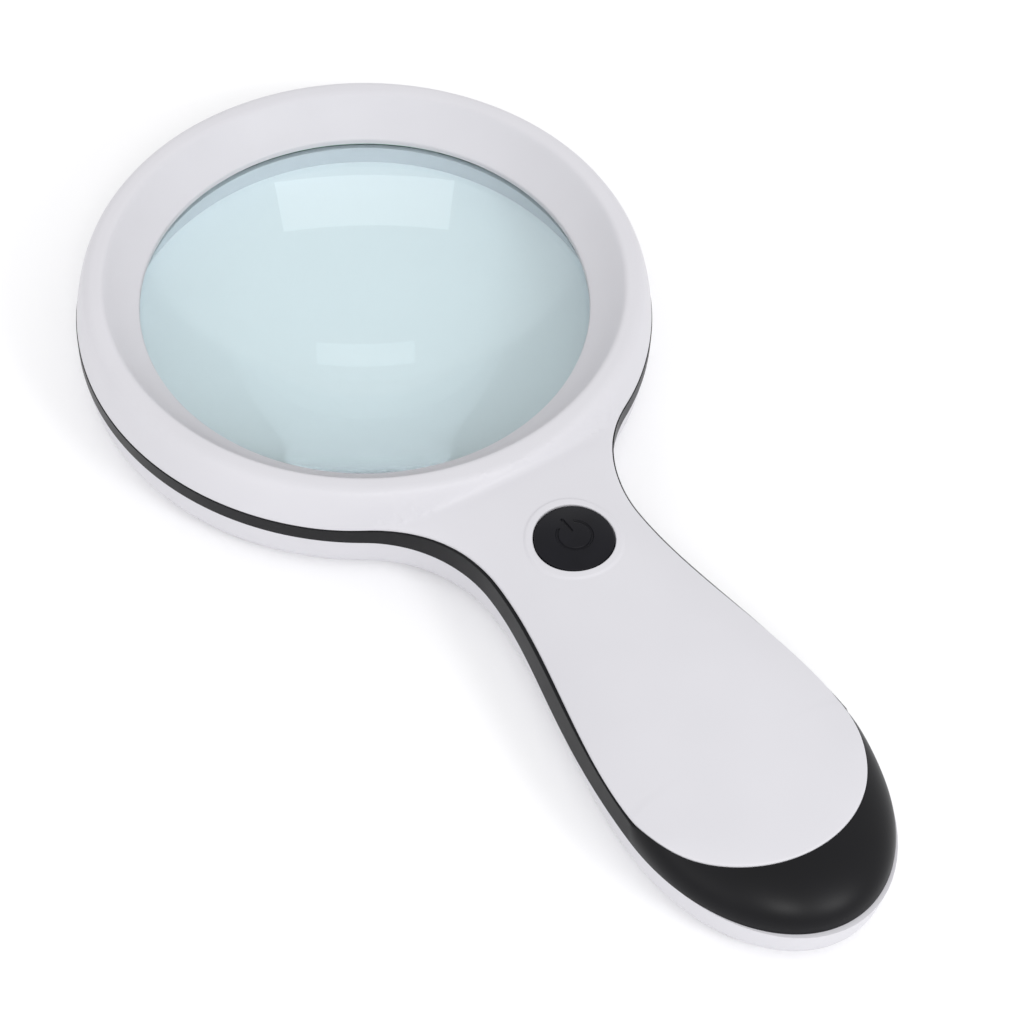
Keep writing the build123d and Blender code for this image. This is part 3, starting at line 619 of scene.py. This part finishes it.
def halfWidth(outline, y):
    top = waistY(outline)
    if y >= top:
        rise = min(y - top, outline["neck"])
        return outline["waist"] + outline["neck"] - math.sqrt(outline["neck"] ** 2 - rise ** 2)
    if y >= outline["bellyY"]:
        u = (top - y) / (top - outline["bellyY"])
        swell = outline["swell"] * math.sin(math.pi * u) ** 2
        return outline["waist"] + (outline["belly"] - outline["waist"]) * smoothStep(u) + swell
    u = min((outline["bellyY"] - y) / (outline["bellyY"] - outline["end"]), 1)
    return outline["belly"] * math.sqrt(1 - u * u)


def insideOutline(outline, x, y):
    touchY = waistY(outline) * outline["ring"] / (outline["ring"] + outline["neck"])
    if math.hypot(x, y) <= outline["ring"]:
        return True
    return outline["end"] <= y <= touchY and abs(x) <= halfWidth(outline, y)


# right-hand half of an outline from the top of the ring to the butt, as stretches of even steps
stepCounts = {"head": 150, "neck": 30, "side": 70, "butt": 48}


def halfOutline(outline, counts=stepCounts):
    top = waistY(outline)
    centreX = outline["waist"] + outline["neck"]
    touch = math.atan2(top, centreX)
    points = []
    for k in range(counts["head"]):
        angle = math.pi / 2 + (touch - math.pi / 2) * k / counts["head"]
        points.append((outline["ring"] * math.cos(angle), outline["ring"] * math.sin(angle)))
    start = touch + math.pi
    for k in range(counts["neck"]):
        angle = start + (math.pi - start) * k / counts["neck"]
        points.append((
            centreX + outline["neck"] * math.cos(angle), top + outline["neck"] * math.sin(angle),
        ))
    for k in range(counts["side"]):
        y = top + (outline["bellyY"] - top) * k / counts["side"]
        points.append((halfWidth(outline, y), y))
    for k in range(counts["butt"] + 1):
        angle = math.pi / 2 * k / counts["butt"]
        points.append((
            outline["belly"] * math.cos(angle),
            outline["bellyY"] + (outline["end"] - outline["bellyY"]) * math.sin(angle),
        ))
    return points


def mirrored(half):
    return half + [(-x, y) for x, y in reversed(half[1:-1])]


def smoothStep(u):
    u = min(max(u, 0), 1)
    return u * u * (3 - 2 * u)


def smoothMin(a, b, size):
    near = max(size - abs(a - b), 0) / size
    return min(a, b) - near ** 3 * size / 6


def frontSplit(y):
    c = casingPlan
    start, end = c["splitRiseY"]
    if y >= end:
        share = smoothStep((start - y) / (start - end))
        return c["frontSplitZ"] + (c["neckSplitZ"] - c["frontSplitZ"]) * share
    fall = (c["neckSplitZ"] - c["bellySplitZ"]) / (end - bandOutline["bellyY"])
    return c["neckSplitZ"] - fall * (end - y)


def ringHeight(r):
    c = casingPlan
    t = r - c["ridgeRadius"]
    span = coverOutline["ring"] - c["ridgeRadius"]
    if t < 0:
        return c["ridgeZ"] - c["insideSlope"] * t
    past = max(t - span, 0)
    share = (t - past) / span
    return c["ridgeZ"] - c["shoulderDrop"] * share ** c["shoulderFullness"] - c["edgeSlope"] * past


def slopeHeight(r):
    c = casingPlan
    share = (r - c["openingRadius"]) / (c["ridgeRadius"] - c["openingRadius"])
    hollow = 4 * c["slopeHollow"] * share * (share - 1)
    return c["openingZ"] + (c["ridgeZ"] - c["openingZ"]) * share + hollow


def crownHalfWidth(y):
    if y < coverOutline["bellyY"]:
        return coverOutline["belly"] + 0.5 * casingPlan["coverLip"]
    return halfWidth(coverOutline, y)


def handleHeight(x, y):
    c = casingPlan
    top = waistY(coverOutline)
    u = max(top - min(y, c["handleFadeY"]), 0) / (top - coverOutline["end"])
    crown = c["waistCrownZ"] - (c["waistCrownZ"] - c["endCrownZ"]) * u * u
    u = abs(x) / crownHalfWidth(y)
    drop = u ** c["crownExponent"] if u < 1 else 1 + c["crownExponent"] * (u - 1)
    edge = frontSplit(y) + c["coverLip"]
    fade = max(y - c["handleFadeY"], 0)
    return crown - (crown - edge) * drop - c["handleFade"] * fade * fade


def domeHeight(x, y):
    c = casingPlan
    along = max(bandOutline["bellyY"] - y, 0) / (bandOutline["bellyY"] - bandOutline["end"])
    across = abs(x) / bandOutline["belly"]
    out = min(math.hypot(across, along), 1)
    side = across / out if out else 1
    power = c["domePower"] + c["domeSidePower"] * side ** c["domeSideReach"]
    return c["rearSplitZ"] + c["domeHeight"] * max(1 - out ** power, 0) ** (1 / power)


def coverHeight(x, y):
    c = casingPlan
    r = math.hypot(x, y)
    ring, handle = ringHeight(r), handleHeight(x, y)
    top = max(ring, handle)
    above = (top - frontSplit(y) - c["coverLip"]) / c["hollowFullAbove"]
    size = c["hollowSize"] * min(max(above, c["hollowLeast"]), 1)
    near = max(size - abs(ring - handle), 0) / size
    top += near ** 3 * size / 6 * smoothStep((r - c["ridgeRadius"]) / c["hollowFadeIn"])
    top = smoothMin(top, c["ridgeZ"] + c["ridgeCapAbove"], c["ridgeCapSoftness"])
    if r < c["ridgeRadius"] + c["slopeReach"]:
        top = smoothMin(top, slopeHeight(r), c["ridgeSoftness"])
    endShare = smoothStep((c["endMeetY"] - y) / c["endMeetSpan"])
    if endShare > 0:
        met = smoothMin(top, domeHeight(x, y) + c["domeReveal"], c["endSoftness"])
        top += (met - top) * endShare
    return top


# triangles over a plan area, from points, closed loops of their indices, and a test of
# what is inside
def planTriangles(points, loops, isInside):
    edges = [(loop[k], loop[(k + 1) % len(loop)]) for loop in loops for k in range(len(loop))]
    flat = [Vector((p[0], p[1])) for p in points]
    coords, _, faces, origins, _, _ = geometry.delaunay_2d_cdt(flat, edges, [], 0, 1e-5)
    triangles = []
    for face in faces:
        x = sum(coords[k].x for k in face) / 3
        y = sum(coords[k].y for k in face) / 3
        if isInside(x, y):
            triangles.append([origins[k][0] for k in face])
    return triangles


def finishMesh(name, vertices, faces, sharpDegrees=40):
    mesh = bpy.data.meshes.new(name)
    placed = [(x * millimetre, y * millimetre + axisY, z * millimetre) for x, y, z in vertices]
    mesh.from_pydata(placed, [], faces)
    shape = bmesh.new()
    shape.from_mesh(mesh)
    loose = [v for v in shape.verts if not v.link_faces]
    bmesh.ops.delete(shape, geom=loose, context="VERTS")
    bmesh.ops.recalc_face_normals(shape, faces=shape.faces)
    shape.to_mesh(mesh)
    shape.free()
    mesh.shade_smooth()
    mesh.set_sharp_from_angle(angle=math.radians(sharpDegrees))
    piece = bpy.data.objects.new(name, mesh)
    scene.collection.objects.link(piece)
    return piece


coverPlan = {
    "gridMm": 0.9,
    "edgeRound": 0.35,          # soft outer edge
    "holeRound": 0.3,
    "wall": 2.0,
    "lipZ": 15.8,               # underside of the lip over the lens
    "lipRadius": 54.2,
    "buttonY": -83.5,
    "buttonHole": 8.55,
    "collarRadius": 10.6,       # faint raised collar round the button
    "collarRise": 0.3,
    "collarFade": 0.7,
    "wallSlant": 1.3,           # a slanting wall is this much thicker measured upright
    "leastWall": 0.05,
    # distances of the mesh's rows from each edge, closest where the edge is rounded
    "edgeRows": (0.0, 0.03, 0.1, 0.2, 0.35, 0.7, 1.15, 1.65, 2.25),
    "openingRows": (0, 0.03, 0.1, 0.2, 0.3),
    "slopeRows": (1.0, 0.8, 8),         # first row, step and count down the lens slope
    "ridgeRows": (-0.75, -0.5, -0.3, -0.15, 0, 0.15, 0.3, 0.5, 0.75, 1.1),
    "holeRows": (0, 0.03, 0.1, 0.2, 0.3, 0.7, 1.1, 1.35, 1.5, 1.65, 1.8, 1.95, 2.1, 2.4),
    "openingSteps": 420,
    "holeSteps": 120,
    "rowRatio": 0.866,          # height of an even-sided triangle over its side
}


def roundDrop(radius, distance):
    left = max(radius - distance, 0)
    return radius - math.sqrt(radius * radius - left * left)


def circlePoints(radius, count, centreY=0.0):
    angles = [2 * math.pi * k / count for k in range(count)]
    return [(radius * math.cos(a), centreY + radius * math.sin(a)) for a in angles]


def makeFrontCover(plan):
    def fromButton(x, y):
        return math.hypot(x, y - plan["buttonY"])

    def top(x, y):
        lift = smoothStep((plan["collarRadius"] - fromButton(x, y)) / plan["collarFade"])
        return coverHeight(x, y) + plan["collarRise"] * lift

    points, loops = [], []
    rows = plan["edgeRows"]
    for away in rows:                                    # outer edge, rounded over
        loop = mirrored(halfOutline(inset(coverOutline, away)))
        drop = roundDrop(plan["edgeRound"], away)
        loops.append(range(len(points), len(points) + len(loop)))
        points += [(x, y, top(x, y) - drop) for x, y in loop]
    opening, ridge = casingPlan["openingRadius"], casingPlan["ridgeRadius"]
    firstRow, rowStep, rowCount = plan["slopeRows"]
    stations = [(opening + d, roundDrop(plan["holeRound"], d)) for d in plan["openingRows"]]
    stations += [(opening + firstRow + rowStep * k, 0) for k in range(rowCount)]
    stations += [(ridge + d, 0) for d in plan["ridgeRows"]]
    for radius, drop in stations:
        loop = circlePoints(radius, plan["openingSteps"])
        loops.append(range(len(points), len(points) + len(loop)))
        points += [(x, y, top(x, y) - drop) for x, y in loop]
    openingLoop = loops[len(rows)]
    holeStart = len(loops)
    hole = plan["buttonHole"]
    for away in plan["holeRows"]:
        loop = circlePoints(hole + away, plan["holeSteps"], plan["buttonY"])
        drop = roundDrop(plan["holeRound"], away)
        loops.append(range(len(points), len(points) + len(loop)))
        points += [(x, y, top(x, y) - drop) for x, y in loop]
    step = plan["gridMm"]
    ridgeClear = ridge + plan["ridgeRows"][-1] + 0.5 * step
    holeClear = hole + plan["holeRows"][-1] + 0.5 * step
    row = 0
    y = coverOutline["end"]
    grown = inset(coverOutline, rows[-1] + 0.5 * step)
    while y < coverOutline["ring"]:
        x = -coverOutline["ring"] + (row % 2) * step / 2
        while x < coverOutline["ring"]:
            clear = math.hypot(x, y) > ridgeClear and fromButton(x, y) > holeClear
            if clear and insideOutline(grown, x, y):
                points.append((x, y, top(x, y)))
            x += step
        y += step * plan["rowRatio"]
        row += 1

    slack = 0.01

    def isInside(x, y):
        if math.hypot(x, y) < opening - slack or fromButton(x, y) < hole - slack:
            return False
        return insideOutline(inset(coverOutline, -2 * slack), x, y)

    triangles = planTriangles(points, loops, isInside)

    def under(x, y, z):
        floorZ = plan["lipZ"] if math.hypot(x, y) < plan["lipRadius"] else frontSplit(y)
        return min(max(z - plan["wall"] * plan["wallSlant"], floorZ), z - plan["leastWall"])

    count = len(points)
    vertices = points + [(x, y, under(x, y, z)) for x, y, z in points]
    faces = [tuple(t) for t in triangles]
    faces += [(c + count, b + count, a + count) for a, b, c in triangles]
    for loop in (loops[0], openingLoop, loops[holeStart]):
        for k in range(len(loop)):
            a, b = loop[k], loop[(k + 1) % len(loop)]
            faces.append((a, b, b + count, a + count))
    cover = finishMesh("frontCoverFine", vertices, faces)
    cover.data.materials.append(whiteCasing)
    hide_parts("front_cover")
    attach(cover, "root")
    print("front cover made of", len(faces), "faces")


makeFrontCover(coverPlan)

bandPlan = {
    "rows": 16,
    "wall": 2.4,
    "edgeRound": 0.3,
    "shadowGap": 0.12,          # between the end dome and the front cover
    "riseStartY": -122.0,       # the band's top edge starts to climb to the dome here
    "bellyDrop": 0.25,
    "leanAbove": 0.5,           # the side leans on to this far over the neck's joint line
    "rowCrowding": 1.1,         # above 1, the rows crowd towards the foot
    "tuckDepth": 1.8,           # how far the dome's inner edge goes down beside the cover
    "sharpDegrees": 35,
}


def makeMiddleFrame(plan):
    low, high = halfOutline(bandOutline), halfOutline(bandTopOutline)
    inner = halfOutline(inset(bandOutline, plan["wall"]))
    egg = inset(coverOutline, -plan["shadowGap"])
    belly = len(low) - stepCounts["butt"] - 1
    eggStart = math.asin((egg["bellyY"] - bandOutline["bellyY"]) / (egg["bellyY"] - egg["end"]))
    eggPoints = []
    for k in range(stepCounts["butt"] + 1):
        angle = eggStart + (math.pi / 2 - eggStart) * k / stepCounts["butt"]
        eggPoints.append((
            egg["belly"] * math.cos(angle),
            egg["bellyY"] + (egg["end"] - egg["bellyY"]) * math.sin(angle),
        ))
    base, rows, soft = casingPlan["rearSplitZ"], plan["rows"], plan["edgeRound"]
    leanSpan = casingPlan["neckSplitZ"] + plan["leanAbove"] - base
    bellyTop = domeHeight(*eggPoints[0]) - plan["bellyDrop"]
    # stations over the dome, close together at its foot, and the heights they give at the belly
    acrossShares = [
        1 - math.cos(math.pi / 2 * (j / (rows - 1)) ** plan["rowCrowding"]) for j in range(rows)
    ]
    bellyIn = bandOutline["belly"] - eggPoints[0][0]
    bellyLift = [
        domeHeight(bandOutline["belly"] - bellyIn * share, bandOutline["bellyY"]) - base
        for share in acrossShares
    ]
    climbShares = [lift / bellyLift[-1] for lift in bellyLift]

    # point of the side wall at outline step k and height z
    def wallPoint(k, z, inwards=0.0):
        share = (z - base) / leanSpan
        x = low[k][0] + (high[k][0] - low[k][0]) * share
        y = low[k][1] + (high[k][1] - low[k][1]) * share
        dx, dy = inner[k][0] - low[k][0], inner[k][1] - low[k][1]
        length = math.hypot(dx, dy)
        return (x + dx / length * inwards, y + dy / length * inwards, z)

    profiles = []
    for k in range(len(low)):
        profile = []
        if k < belly:
            y = low[k][1]
            climbSpan = plan["riseStartY"] - bandOutline["bellyY"]
            climb = smoothStep((plan["riseStartY"] - y) / climbSpan)
            top = frontSplit(y) + (bellyTop - frontSplit(y)) * climb
            for share in climbShares:
                z = base + (top - base) * share
                over = max(z - top + soft, 0)
                inwards = soft - math.sqrt(max(soft * soft - over * over, 0))
                profile.append(wallPoint(k, z, inwards))
            profile.append(wallPoint(k, top, plan["wall"]))
            profile.append((inner[k][0], inner[k][1], base))
        else:
            target = eggPoints[k - belly]
            start = low[k]
            for j, share in enumerate(acrossShares):
                x = start[0] + (target[0] - start[0]) * share
                y = start[1] + (target[1] - start[1]) * share
                z = base if j == 0 else domeHeight(x, y)
                profile.append((x, y, z))
            z = profile[-1][2]
            profile.append((target[0], target[1], z - plan["tuckDepth"]))
            profile.append((inner[k][0], inner[k][1], base))
        profiles.append(profile)
    otherHalf = [[(-x, y, z) for x, y, z in profile] for profile in reversed(profiles[1:-1])]
    whole = profiles + otherHalf
    width = len(whole[0])
    vertices = [p for profile in whole for p in profile]
    faces = []
    for k in range(len(whole)):
        after = (k + 1) % len(whole)
        for j in range(width):
            i = (j + 1) % width
            faces.append((k * width + j, after * width + j, after * width + i, k * width + i))
    band = finishMesh("middleFrameFine", vertices, faces, plan["sharpDegrees"])
    band.data.materials.append(blackCasing)
    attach(band, "root")
    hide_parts("mid_frame")
    print("middle frame made of", len(faces), "faces")


makeMiddleFrame(bandPlan)

buttonPlan = {
    "rise": 0.6,                # stands this much prouder than its plain solid
    "radius": 8.35,
    "edgeRound": 0.4,
    "roundSteps": 4,
    "sag": 1.2,
    "flangeRadius": 9.8,
    "flangeZ": (17.45, 18.45),
    "stemRadius": 2.4,
    "turns": 240,
    "across": 60,
    "iconRadius": 3.6,
    "iconLine": 0.27,           # half the width of the engraved line
    "iconDepth": 0.32,
    "iconSoft": 0.06,           # half the width of the line's sloping side
    "iconGap": 34.0,            # half the opening of the engraved ring, in degrees
    "strokeY": (1.1, 4.7),
    "sharpDegrees": 50,
}


# the general on/off sign: an open ring with an upright stroke, cut into the cap
def engraving(plan, x, y):
    angle = abs(math.degrees(math.atan2(x, y)))
    ringGap = abs(math.hypot(x, y) - plan["iconRadius"])
    if angle < plan["iconGap"]:
        turn = math.radians(plan["iconGap"])
        endX, endY = plan["iconRadius"] * math.sin(turn), plan["iconRadius"] * math.cos(turn)
        ringGap = math.hypot(abs(x) - endX, y - endY)
    strokeLow, strokeHigh = plan["strokeY"]
    strokeGap = math.hypot(x, y - min(max(y, strokeLow), strokeHigh))
    gap = min(ringGap, strokeGap)
    soft = plan["iconSoft"]
    return plan["iconDepth"] * smoothStep((plan["iconLine"] + soft - gap) / (2 * soft))


def makeButton(plan):
    low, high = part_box("button_cap")
    top = high.z / millimetre + plan["rise"]
    rim = plan["radius"] - plan["edgeRound"]
    bend = (rim * rim + plan["sag"] ** 2) / (2 * plan["sag"])
    profile = []
    for k in range(1, plan["across"] + 1):
        out = rim * k / plan["across"]
        profile.append((out, top - bend + math.sqrt(bend * bend - out * out)))
    edge = top - plan["sag"]
    for k in range(1, plan["roundSteps"] + 1):
        turn = math.pi / 2 * k / plan["roundSteps"]
        profile.append((
            rim + plan["edgeRound"] * math.sin(turn),
            edge - plan["edgeRound"] * (1 - math.cos(turn)),
        ))
    flangeLow, flangeTop = plan["flangeZ"]
    foot = low.z / millimetre
    profile += [
        (plan["radius"], flangeTop), (plan["flangeRadius"], flangeTop),
        (plan["flangeRadius"], flangeLow), (plan["stemRadius"], flangeLow),
        (plan["stemRadius"], foot),
    ]
    turns = plan["turns"]
    centreY = coverPlan["buttonY"]
    vertices = [(0, centreY, top - engraving(plan, 0, 0))]
    for radius, height in profile:
        for k in range(turns):
            angle = 2 * math.pi * k / turns
            x, y = radius * math.cos(angle), radius * math.sin(angle)
            cut = engraving(plan, x, y) if radius <= rim else 0
            vertices.append((x, centreY + y, height - cut))
    vertices.append((0, centreY, foot))
    last = len(vertices) - 1
    faces = []
    for k in range(turns):
        j = (k + 1) % turns
        faces.append((0, 1 + k, 1 + j))
        for ring in range(len(profile) - 1):
            start, after = 1 + ring * turns, 1 + (ring + 1) * turns
            faces.append((start + k, after + k, after + j, start + j))
        faces.append((last, last - turns + j, last - turns + k))
    cap = finishMesh("buttonFine", vertices, faces, plan["sharpDegrees"])
    cap.data.materials.append(buttonPlastic)
    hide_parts("button_cap")
    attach(cap, "button")
    print("button made of", len(faces), "faces")


makeButton(buttonPlan)
